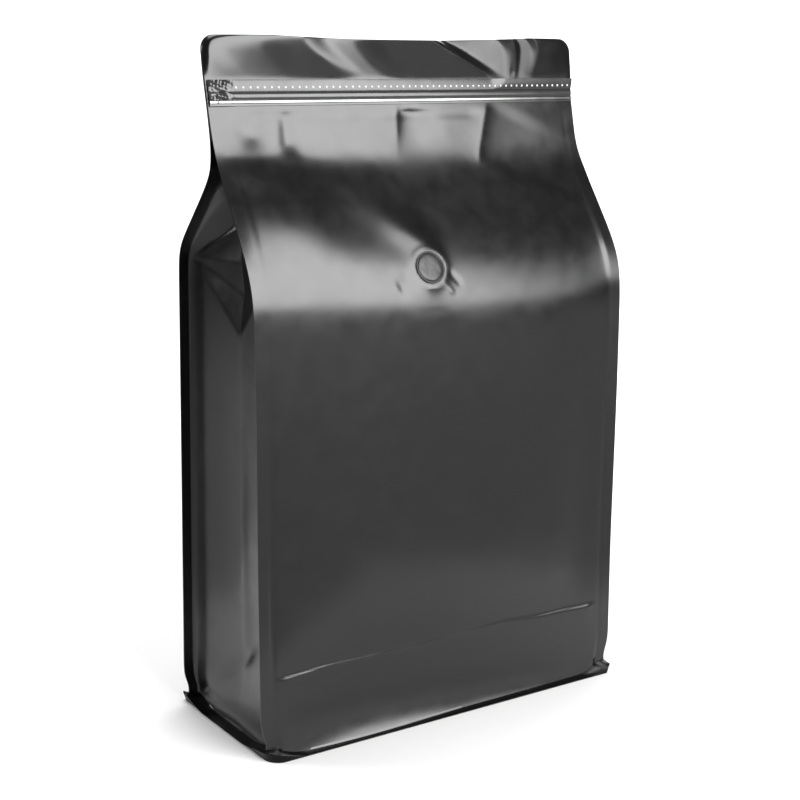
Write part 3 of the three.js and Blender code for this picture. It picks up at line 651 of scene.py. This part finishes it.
def lip_ring(z):
    """The lip's outer edge, with a point for each point of a body ring: the walls' points along
    the straight stretches and the seals' points round the corners."""
    half_x, half_y = BASE_WIDTH / 2, BASE_DEPTH / 2

    def corner(side_x, side_y, degrees):
        angle = np.radians(degrees)
        radius = np.where((side_x < 0) & (side_y < 0), BASE_CORNER, SHARP_CORNER)
        x = side_x * (half_x - radius * (1 - np.sin(angle)))
        return x, side_y * (half_y - radius * (1 - np.cos(angle)))

    def long_side(x, side_y):
        into_seal = np.maximum(0, np.abs(x) - SEAL_ROOT) / SIDE_SEAL
        round_x, round_y = corner(np.sign(x), side_y, 45 * into_seal)
        flat_x, _ = corner(np.sign(x), side_y, 0)
        flat, straight = into_seal == 0, np.abs(x) * flat_x / SEAL_ROOT
        return np.where(flat, straight, round_x), np.where(flat, side_y * half_y, round_y)

    def short_side(side_x):
        place, into = gusset_columns()
        round_x, round_y = corner(side_x, np.sign(place), 45 + 45 * into)
        near, far = (corner(side_x, side_y, 90)[1] for side_y in (-1, 1))
        leaf = into == 1
        flat_y = near + (far - near) * (place + 1) / 2
        return np.where(leaf, side_x * half_x, round_x), np.where(leaf, flat_y, round_y)

    right, left = short_side(1), short_side(-1)
    parts = [long_side(FRONT_X, -1), right, long_side(BACK_X, 1), (left[0][::-1], left[1][::-1])]
    x, y = (np.concatenate([part[i] for part in parts]) for i in (0, 1))
    return np.stack([x, y, np.full_like(x, z)], axis=-1)


def corner_rise(points):
    """How much further up the walls leave the lip: nothing along its sides, most at its corners."""
    near_side = smooth_step(HALF_WIDTH - CORNER_REACH, HALF_WIDTH, np.abs(points[..., 0]))
    near_end = smooth_step(FRONT_AT_BASE - CORNER_REACH, FRONT_AT_BASE, np.abs(points[..., 1]))
    return (LIP_CORNER_RISE - LIP_RISE) * near_side * near_end


def lifted(rows):
    """Body rings moved up near the base, to clear the lip, and more so at its corners."""
    foot = LIP_RISE + corner_rise(rows)
    z = rows[..., 2]
    moved = rows.copy()
    moved[..., 2] = np.where(z < PACK_FOLD, foot + z * (PACK_FOLD - foot) / PACK_FOLD, z)
    return moved


def film_rows(sizes):
    """The whole film as rings from the sole up to the cut edge. From the lip they climb to the
    walls with the square of their share of the way in."""
    heights = np.concatenate([[0], BODY_HEIGHTS])[:, None]
    body = lifted(body_rows(heights, sizes))
    sole = lip_ring(0)
    sole[:, :2] *= 1 - LIP_UNDERCUT
    edge = lip_ring(LIP_EDGE)
    edge[:, 2] += corner_rise(body[0])
    share = np.linspace(0, 1, LIP_STEPS + 1)[1:-1, None, None]
    lip = edge + (body[0] - edge) * share
    lip[..., 2] = edge[:, 2] + (body[0, :, 2] - edge[:, 2]) * share[..., 0] ** 2
    header = header_rows(HEADER_HEIGHTS[:, None], sizes)
    return np.concatenate([sole[None], edge[None], lip, body, header])


# ---- Meshes

SHARP_ANGLE = 40  # degrees between two faces from which their edge is sharp


def circle(sides):
    """Even angles round a full turn, in radians."""
    return np.linspace(0, 2 * np.pi, sides + 1)[:-1]


def ring_faces(rows, columns):
    """Quads between neighbouring rings, each ring closed on itself. The rings run anticlockwise
    seen from their last one, so that the faces point outwards."""
    low = np.arange(rows - 1)[:, None] * columns + np.arange(columns)
    right = np.arange(rows - 1)[:, None] * columns + (np.arange(columns) + 1) % columns
    return np.stack([low, right, right + columns, low + columns], axis=-1).reshape(-1, 4)


def end_faces(rows):
    """A face over the first ring and one over the last."""
    count, last = rows.shape[1], rows.shape[0] * rows.shape[1]
    return [list(range(count - 1, -1, -1)), list(range(last - count, last))]


def smooth_mesh(name, points, faces, materials):
    """A smoothly shaded mesh from points in metres."""
    mesh = bpy.data.meshes.new(name)
    mesh.from_pydata(points, [], faces)
    for material in materials:
        mesh.materials.append(material)
    mesh.polygons.foreach_set("use_smooth", np.ones(len(mesh.polygons), dtype=bool))
    return mesh


def add_object(name, data):
    made = bpy.data.objects.new(name, data)
    bpy.context.scene.collection.objects.link(made)
    return made


def make_piece(name, points, faces, materials, node, second=None):
    """Adds a piece from points in millimetres, its body and the node it stands for.
    `second` marks the faces of the second material."""
    mesh = smooth_mesh(name, points.reshape(-1, 3) * MM, faces, materials)
    if second is not None:
        mesh.polygons.foreach_set("material_index", second.astype(np.int32))
    if mesh.validate():
        raise RuntimeError(f"{name} has faces that aren't valid")
    mesh.set_sharp_from_angle(angle=np.radians(SHARP_ANGLE))
    piece = add_object(name, mesh)
    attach(piece, BODY)
    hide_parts(node)


# ---- Materials

COLOUR_SPREAD = 0.15  # how much darker and lighter a colour gets, as a share of it
BROAD_NOISE, FINE_NOISE = 14.0, 90.0  # swells in a metre, of the colour and of the roughness
# Roughness, how far it varies, waves and grain as (size, height) in mm, specular level.
FINISHES = {
    "satin_film": (None, 0.03, (22, 0.12), (1.6, 0.004), 0.5),  # the user's own roughness
    # The lip's copy of the film, with a far lower specular level: painted shade that keeps the lip dark.
    "lip_painted_shade": (0.3, 0.04, (22, 0.1), (1.6, 0.004), 0.12),
    "valve_film": (0.34, 0.06, (3.2, 0.16), (0.9, 0.02), 0.35),
    "zip_strip": (0.24, 0.05, (6, 0.06), (1.2, 0.006), 0.5),
    "zip_bumps": (0.3, 0.05, (2, 0.01), (0.8, 0.003), 0.5),
    "zip_welt": (0.22, 0.04, (7, 0.05), (1.2, 0.004), 0.5),
    "zip_rails": (0.2, 0.03, (7, 0.02), (1.2, 0.003), 1.0),
}


def add_node(tree, kind, values=(), **settings):
    """Adds a shader node with its settings and its input values."""
    node = tree.nodes.new(kind)
    for key, value in settings.items():
        setattr(node, key, value)
    for key, value in dict(values).items():
        node.inputs[key].default_value = value
    return node


def noise(tree, place, scale, detail, stretch=(1, 1, 1)):
    """A noise over the object's own coordinates, in metres, stretched along its axes."""
    mapping = add_node(tree, "ShaderNodeMapping", {"Scale": stretch})
    tree.links.new(place.outputs["Object"], mapping.inputs["Vector"])
    found = add_node(tree, "ShaderNodeTexNoise", {"Scale": scale, "Detail": detail, "Roughness": 0.5})
    tree.links.new(mapping.outputs["Vector"], found.inputs["Vector"])
    return found.outputs["Fac"]


def spread_over(tree, factor, low, high):
    """Turns a noise between about 0.3 and 0.7 into a range of values."""
    ends = {"From Min": 0.3, "From Max": 0.7, "To Min": low, "To Max": high}
    ranged = add_node(tree, "ShaderNodeMapRange", ends)
    tree.links.new(factor, ranged.inputs["Value"])
    return ranged.outputs["Result"]


def satin(name, colour, roughness=None):
    """A satin or glossy plastic of the list: a colour and a roughness that vary a little from
    place to place, wide soft waves and a grain. A listed roughness goes before a given one."""
    listed, uneven, waves, grain, specular = FINISHES[name]
    roughness = listed or roughness
    material = bpy.data.materials.new(name)
    material.use_nodes = True
    tree = material.node_tree
    link = tree.links.new
    shader = tree.nodes["Principled BSDF"]
    shader.inputs["Specular IOR Level"].default_value = specular
    place = add_node(tree, "ShaderNodeTexCoord")
    broad = noise(tree, place, BROAD_NOISE, 2.0, (1, 1, 0.6))
    ramp = add_node(tree, "ShaderNodeMix", data_type="RGBA")
    ramp.inputs["A"].default_value = (*[c * (1 - COLOUR_SPREAD) for c in colour], 1)
    ramp.inputs["B"].default_value = (*[c * (1 + COLOUR_SPREAD) for c in colour], 1)
    link(spread_over(tree, broad, 0, 1), ramp.inputs["Factor"])
    link(ramp.outputs["Result"], shader.inputs["Base Color"])
    fine = noise(tree, place, FINE_NOISE, 3.0)
    link(spread_over(tree, fine, roughness - uneven, roughness + uneven), shader.inputs["Roughness"])
    below = None
    for size, height in (waves, grain):
        bump = add_node(tree, "ShaderNodeBump", {"Strength": 1.0, "Distance": height * MM})
        link(noise(tree, place, 1 / (size * MM), 1.0), bump.inputs["Height"])
        if below:
            link(below.outputs["Normal"], bump.inputs["Normal"])
        below = bump
    link(below.outputs["Normal"], shader.inputs["Normal"])
    return material


# ---- Operators


class POUCH_OT_film(Operator):
    """Make the film: the filled body, its fins, gussets, base lip and header"""

    bl_idname = "pouch.film"
    bl_label = "Film"

    def execute(self, context):
        sizes, finish = context.scene.pouch_sizes, context.scene.pouch_finish
        rows = film_rows(sizes)
        faces = ring_faces(*rows.shape[:2]).tolist() + end_faces(rows)
        film = satin("satin_film", finish.film_colour, finish.film_roughness)
        # The lip's faces get a less reflective copy of the film, as painted shade.
        seal = satin("lip_painted_shade", finish.film_colour)
        in_lip = np.arange(len(faces)) < rows.shape[1]
        make_piece("film", rows, faces, [film, seal], "pouch", in_lip)
        return {"FINISHED"}


class POUCH_OT_valve(Operator):
    """Make the one-way valve: a disc under drawn film, with a rim and a pressed ring"""

    bl_idname = "pouch.valve"
    bl_label = "Valve"

    def execute(self, context):
        sizes, finish = context.scene.pouch_sizes, context.scene.pouch_finish
        radius, height = np.array(VALVE_SECTION).T[..., None]
        turn = circle(VALVE_SIDES)
        middle, lean = valve_seat(sizes.front_bulge / MM)
        uneven = RIM_UNEVEN * np.cos(3 * turn + 1) * (radius > RIM_FROM)
        axes = np.array([[1, 0, 0], [0, lean, 1] / np.hypot(1, lean), [0, -1, lean] / np.hypot(1, lean)])
        across, up, out = radius * np.cos(turn), radius * np.sin(turn), height + uneven
        rows = np.stack([across, up, out], axis=-1) @ axes + [VALVE_X, middle, VALVE_HEIGHT]
        faces = ring_faces(*rows.shape[:2]).tolist() + end_faces(rows)
        film = satin("valve_film", finish.valve_colour)
        make_piece("valve_disc", rows, faces, [film], "valve")
        return {"FINISHED"}


def strip_rows(profile, turned=0.0):
    """A strip across the front of the header: a closed profile of (height, thickness) pairs carried
    from seal edge to seal edge. Its crushed left end is lifted in small steep waves, the product of
    two crossing sines and 0.3 of a third. Its right part may be turned to face down by a slope."""
    x = np.linspace(-ZIP_HALF_LENGTH, ZIP_HALF_LENGTH, STRIP_STEPS + 1)[:, None]
    z, out = np.array(profile).T
    crushed = 1 - smooth_step(*CRUSH_PLACES, x + ZIP_HALF_LENGTH)
    waves = np.sin(1.2 * x + 0.7 * z) * np.sin(0.9 * z - 0.5 * x) + 0.3 * np.sin(1.7 * x - 0.8 * z)
    even, uneven = CRUSH_LIFT
    lift = crushed * (even + uneven * waves * smooth_step(*CRUSH_HEIGHTS, z)) * (out > 0)
    facing_down = turned * smooth_step(*TURN_PLACES, x) * (z - z.min()) * (out > 0)
    return placed(x, front_face(x, z, 0) - CLEARANCE - out - lift - facing_down, z)


def strip_faces(rows):
    """The strip's quads, and a face over each of its ends, all turned to face outwards."""
    ends = [face[::-1] for face in end_faces(rows)]
    return ring_faces(*rows.shape[:2])[:, ::-1].tolist() + ends


class POUCH_OT_tear_tab(Operator):
    """Make the zipper's tear tab: a thin strip with a row of small bumps"""

    bl_idname = "pouch.tear_tab"
    bl_label = "Tear tab"

    def execute(self, context):
        sizes, finish = context.scene.pouch_sizes, context.scene.pouch_finish
        crown = TAB_CROWN * np.sqrt(arch(TAB_HEIGHTS - TAB_MIDDLE, TAB_HALF))
        profile = list(zip(TAB_HEIGHTS, STRIP_THICKNESS + crown))
        profile += [(TAB_BOTTOM, 0), (ZIP_TOP, 0)]
        rows = strip_rows(profile, TAB_TURN)
        faces = strip_faces(rows)
        bumps, bump_faces = self.bumps(sizes, rows.shape[0] * rows.shape[1])
        points = np.concatenate([rows.reshape(-1, 3), bumps.reshape(-1, 3)])
        second = np.arange(len(faces) + len(bump_faces)) >= len(faces)
        strip, bump = satin("zip_strip", finish.zip_colour), satin("zip_bumps", finish.bump_colour)
        faces += bump_faces
        make_piece("tear_tab_strip", points, faces, [strip, bump], "tear_tab", second)
        return {"FINISHED"}

    @staticmethod
    def bumps(sizes, first):
        """A row of small domes, rings of radius r cos(a) lifted by 0.8 r sin(a), whose points are
        numbered from `first`."""
        radius = sizes.bump_radius / MM
        x = np.arange(DOT_FIRST, ZIP_HALF_LENGTH - 1, DOT_PITCH)[:, None, None]
        rise, turn = np.radians(DOT_RINGS)[:, None], circle(DOT_SIDES)
        across = x + radius * np.cos(rise) * np.cos(turn)
        up = DOT_HEIGHT + radius * np.cos(rise) * np.sin(turn)
        out = radius * DOT_FLATNESS * np.sin(rise)
        turned = TAB_TURN * smooth_step(*TURN_PLACES, x) * (DOT_HEIGHT - TAB_BOTTOM)
        y = front_face(x, DOT_HEIGHT, 0) - CLEARANCE - DOT_FOOT - out - turned
        points = np.stack(np.broadcast_arrays(pulled_in(across, DOT_HEIGHT), y, up), axis=-1)
        count, rings, sides = points.shape[:3]
        starts = first + np.arange(count)[:, None, None] * rings * sides
        quads = (ring_faces(rings, sides) + starts).reshape(-1, 4)
        ends = (np.array(end_faces(points[0]))[:, None] + starts[:, 0]).reshape(-1, sides)
        return points, quads.tolist() + ends.tolist()


class POUCH_OT_zip_rails(Operator):
    """Make the zipper's lower strip, with its two closing rails"""

    bl_idname = "pouch.zip_rails"
    bl_label = "Zipper rails"

    def execute(self, context):
        sizes, finish = context.scene.pouch_sizes, context.scene.pouch_finish
        proud = sizes.rail_proud / MM
        top = TAB_BOTTOM - CLEARANCE
        steps = np.arange(RAIL_STEPS + 1)
        crown = RAIL_CROWN * proud * np.sqrt(arch(steps - RAIL_STEPS / 2, RAIL_ARCH))
        upper = list(zip(RAIL_TOP - RAIL_WIDTH * steps / RAIL_STEPS, STRIP_THICKNESS + crown))
        flat_top, flat_bottom = RAIL_FLAT
        lower = [(flat_top + RAIL_FLANK, RAIL_FOOT), (flat_top, proud + RAIL_TILT)]
        lower += [(flat_bottom, proud), (flat_bottom - RAIL_FLANK, RAIL_FOOT)]
        edges = [(ZIP_BOTTOM, STRIP_FOOT), (ZIP_BOTTOM, 0), (top, 0)]
        profile = [(top, STRIP_THICKNESS)] + upper + lower + edges
        rows = strip_rows(profile)
        faces = strip_faces(rows)
        strip, rail = satin("zip_welt", finish.zip_colour), satin("zip_rails", finish.zip_colour)
        rail.node_tree.nodes["Principled BSDF"].inputs["IOR"].default_value = RAIL_IOR
        flat = profile.index(lower[1])
        second = np.arange(len(faces)) % len(profile) == flat
        second[-2:] = False  # the two end faces
        make_piece("zipper_rails", rows, faces, [strip, rail], "zip_rails", second)
        return {"FINISHED"}


# ---- The stage

# Metres from here on.
SHEET_FRONT = -0.18  # the sheet's front edge, towards the camera from the pouch's middle
SHEET_HALF_WIDTH, SHEET_WIDENING = 0.29, 0.45  # beside the pouch, and how fast it widens behind it
SHEET_BEND = 0.45  # how far behind the pouch it starts to curve up
SHEET_RADIUS, SHEET_HEIGHT = 0.4, 0.8
TABLE_HALF, TABLE_DROP = 4.0, 0.002  # its top lies this far under the sheet

CAMERA_PLACE = (-0.47709, -0.71755, 0.35892)
CAMERA_TURN = -33.56  # degrees to the left of the front
CAMERA_PITCH = 12.11  # degrees down
LENS, SENSOR = 69.28, 36  # mm

# Lights: name, azimuth, elevation, distance, size and target. The two key lights overlap and
# share the key radiance, so that the right edge comes in two steps.
KEY_TARGET = (0, 0, 1.384)
KEY_LIGHTS = (
    ("key", 15.4, 0, 2.45, (2.22, 2.1), KEY_TARGET),
    ("key_edge", 18, 0, 2.45, (2.5, 2.1), KEY_TARGET),
)
# And each with its radiance.
SMALL_LIGHTS = (
    ("left", -131, 18, 1.3, (0.42, 0.24), (-0.11, 0, 0.275), 32),
    ("overhead", CAMERA_TURN + 180, 75, 1.5, (1.3, 1.3), (0, 0, 0.2), 4.4),
)


def camera_axes():
    """The camera's right, up and back directions, from its turn and its pitch."""
    turn, pitch = np.radians(CAMERA_TURN), np.radians(CAMERA_PITCH)
    level = Vector((-np.sin(turn), np.cos(turn), 0))
    right = Vector((np.cos(turn), np.sin(turn), 0))
    ahead = level * np.cos(pitch) - Vector((0, 0, np.sin(pitch)))
    return right, right.cross(ahead), -ahead


def soft_box(name, azimuth, elevation, distance, size, target, radiance):
    """A rectangular light that faces its target, at degrees to the right of the front and upwards.
    Its power is its radiance times its area times pi."""
    turn, rise = np.radians(azimuth), np.radians(elevation)
    towards = Vector((np.sin(turn) * np.cos(rise), -np.cos(turn) * np.cos(rise), np.sin(rise)))
    light = bpy.data.lights.new(name, "AREA")
    light.shape = "RECTANGLE"
    light.size, light.size_y = size
    light.energy = radiance * size[0] * size[1] * np.pi
    lamp = add_object(name, light)
    lamp.location = Vector(target) + towards * distance
    lamp.rotation_euler = towards.to_track_quat("Z", "Y").to_euler()


def plain_sheet(name, points, faces, colour):
    """A smooth matt sheet of one colour, which belongs to the stage."""
    material = bpy.data.materials.new(name)
    material.use_nodes = True
    shader = material.node_tree.nodes["Principled BSDF"]
    shader.inputs["Base Color"].default_value = (*colour, 1)
    shader.inputs["Roughness"].default_value = 0.9
    shader.inputs["Specular IOR Level"].default_value = 0.1
    sheet = add_object(name, smooth_mesh(name, points, faces.tolist(), [material]))


class POUCH_OT_studio(Operator):
    """Make the plain floor, the soft lights, the surroundings and the camera"""

    bl_idname = "pouch.studio"
    bl_label = "Studio"

    def execute(self, context):
        studio = context.scene.pouch_studio
        self.floor(studio)
        self.surroundings(context.scene, studio)
        for light in KEY_LIGHTS:
            soft_box(*light, studio.key_radiance / len(KEY_LIGHTS))
        for *light, radiance in SMALL_LIGHTS:
            soft_box(*light, radiance)
        self.camera(context.scene)
        return {"FINISHED"}

    @staticmethod
    def floor(studio):
        """A pale table, and a white sheet on it, square to the camera, that curves up behind the
        pouch and widens with the camera's view."""
        right, _, back = camera_axes()
        level = Vector((-back.x, -back.y, 0)).normalized()
        angles = np.linspace(0, np.pi / 2, 25)
        away = np.concatenate([[SHEET_FRONT], SHEET_BEND + SHEET_RADIUS * np.sin(angles)])
        away = np.append(away, away[-1])
        up = np.concatenate([[0], SHEET_RADIUS * (1 - np.cos(angles)), [SHEET_HEIGHT]])
        half = SHEET_HALF_WIDTH + SHEET_WIDENING * away
        sides = half[:, None] * np.array([-1, 1])
        places = np.stack(np.broadcast_arrays(away[:, None], sides, up[:, None]), axis=-1)
        points = places @ np.array([level, right, (0, 0, 1)])
        low = np.arange(len(away) - 1)[:, None] * 2
        faces = np.concatenate([low, low + 1, low + 3, low + 2], axis=1)
        plain_sheet("sheet", points.reshape(-1, 3), faces, studio.floor_colour)
        corners = TABLE_HALF * np.array([[-1, -1, 0], [1, -1, 0], [1, 1, 0], [-1, 1, 0]])
        plain_sheet("table", corners - [0, 0, TABLE_DROP], np.arange(4)[None], studio.table_colour)

    @staticmethod
    def surroundings(scene, studio):
        """Plain dim surroundings, and a plain display of the light."""
        world = bpy.data.worlds.new("surroundings")
        world.use_nodes = True
        background = world.node_tree.nodes["Background"]
        background.inputs["Color"].default_value = (1, 1, 1, 1)
        background.inputs["Strength"].default_value = studio.world_strength
        scene.world = world
        scene.view_settings.view_transform = "Standard"

    @staticmethod
    def camera(scene):
        """The camera, with the place, the turn and the lens of the photograph."""
        right, up, back = camera_axes()
        data = bpy.data.cameras.new("camera")
        data.lens, data.sensor_width = LENS, SENSOR
        data.clip_start, data.clip_end = 0.01, 50
        turned = Matrix((right, up, back)).transposed().to_4x4()
        scene.camera = add_object("camera", data)
        scene.camera.matrix_world = Matrix.Translation(CAMERA_PLACE) @ turned


class POUCH_PT_sidebar(Panel):
    """The pouch's pieces and its studio"""

    bl_idname = "POUCH_PT_sidebar"
    bl_label = "Stand-up pouch"
    bl_space_type = "VIEW_3D"
    bl_region_type = "UI"
    bl_category = "Pouch"

    def draw(self, context):
        layout = self.layout
        for group in (context.scene.pouch_sizes, context.scene.pouch_finish, context.scene.pouch_studio):
            box = layout.box()
            for name in group.__annotations__:
                box.prop(group, name)
        for operator in OPERATORS:
            layout.operator(operator.bl_idname)


OPERATORS = (POUCH_OT_film, POUCH_OT_valve, POUCH_OT_tear_tab, POUCH_OT_zip_rails, POUCH_OT_studio)
GROUPS = {"pouch_sizes": PouchSizes, "pouch_finish": PouchFinish, "pouch_studio": PouchStudio}


def register():
    for group in GROUPS.values():
        bpy.utils.register_class(group)
    for name, group in GROUPS.items():
        setattr(bpy.types.Scene, name, PointerProperty(type=group))
    for operator in OPERATORS:
        bpy.utils.register_class(operator)
    bpy.utils.register_class(POUCH_PT_sidebar)


def unregister():
    bpy.utils.unregister_class(POUCH_PT_sidebar)
    for operator in reversed(OPERATORS):
        bpy.utils.unregister_class(operator)
    for name in GROUPS:
        delattr(bpy.types.Scene, name)
    for group in reversed(GROUPS.values()):
        bpy.utils.unregister_class(group)


def main():
    register()
    bpy.ops.pouch.film()
    bpy.ops.pouch.valve()
    bpy.ops.pouch.tear_tab()
    bpy.ops.pouch.zip_rails()
    bpy.ops.pouch.studio()


if __name__ == "__main__":
    main()
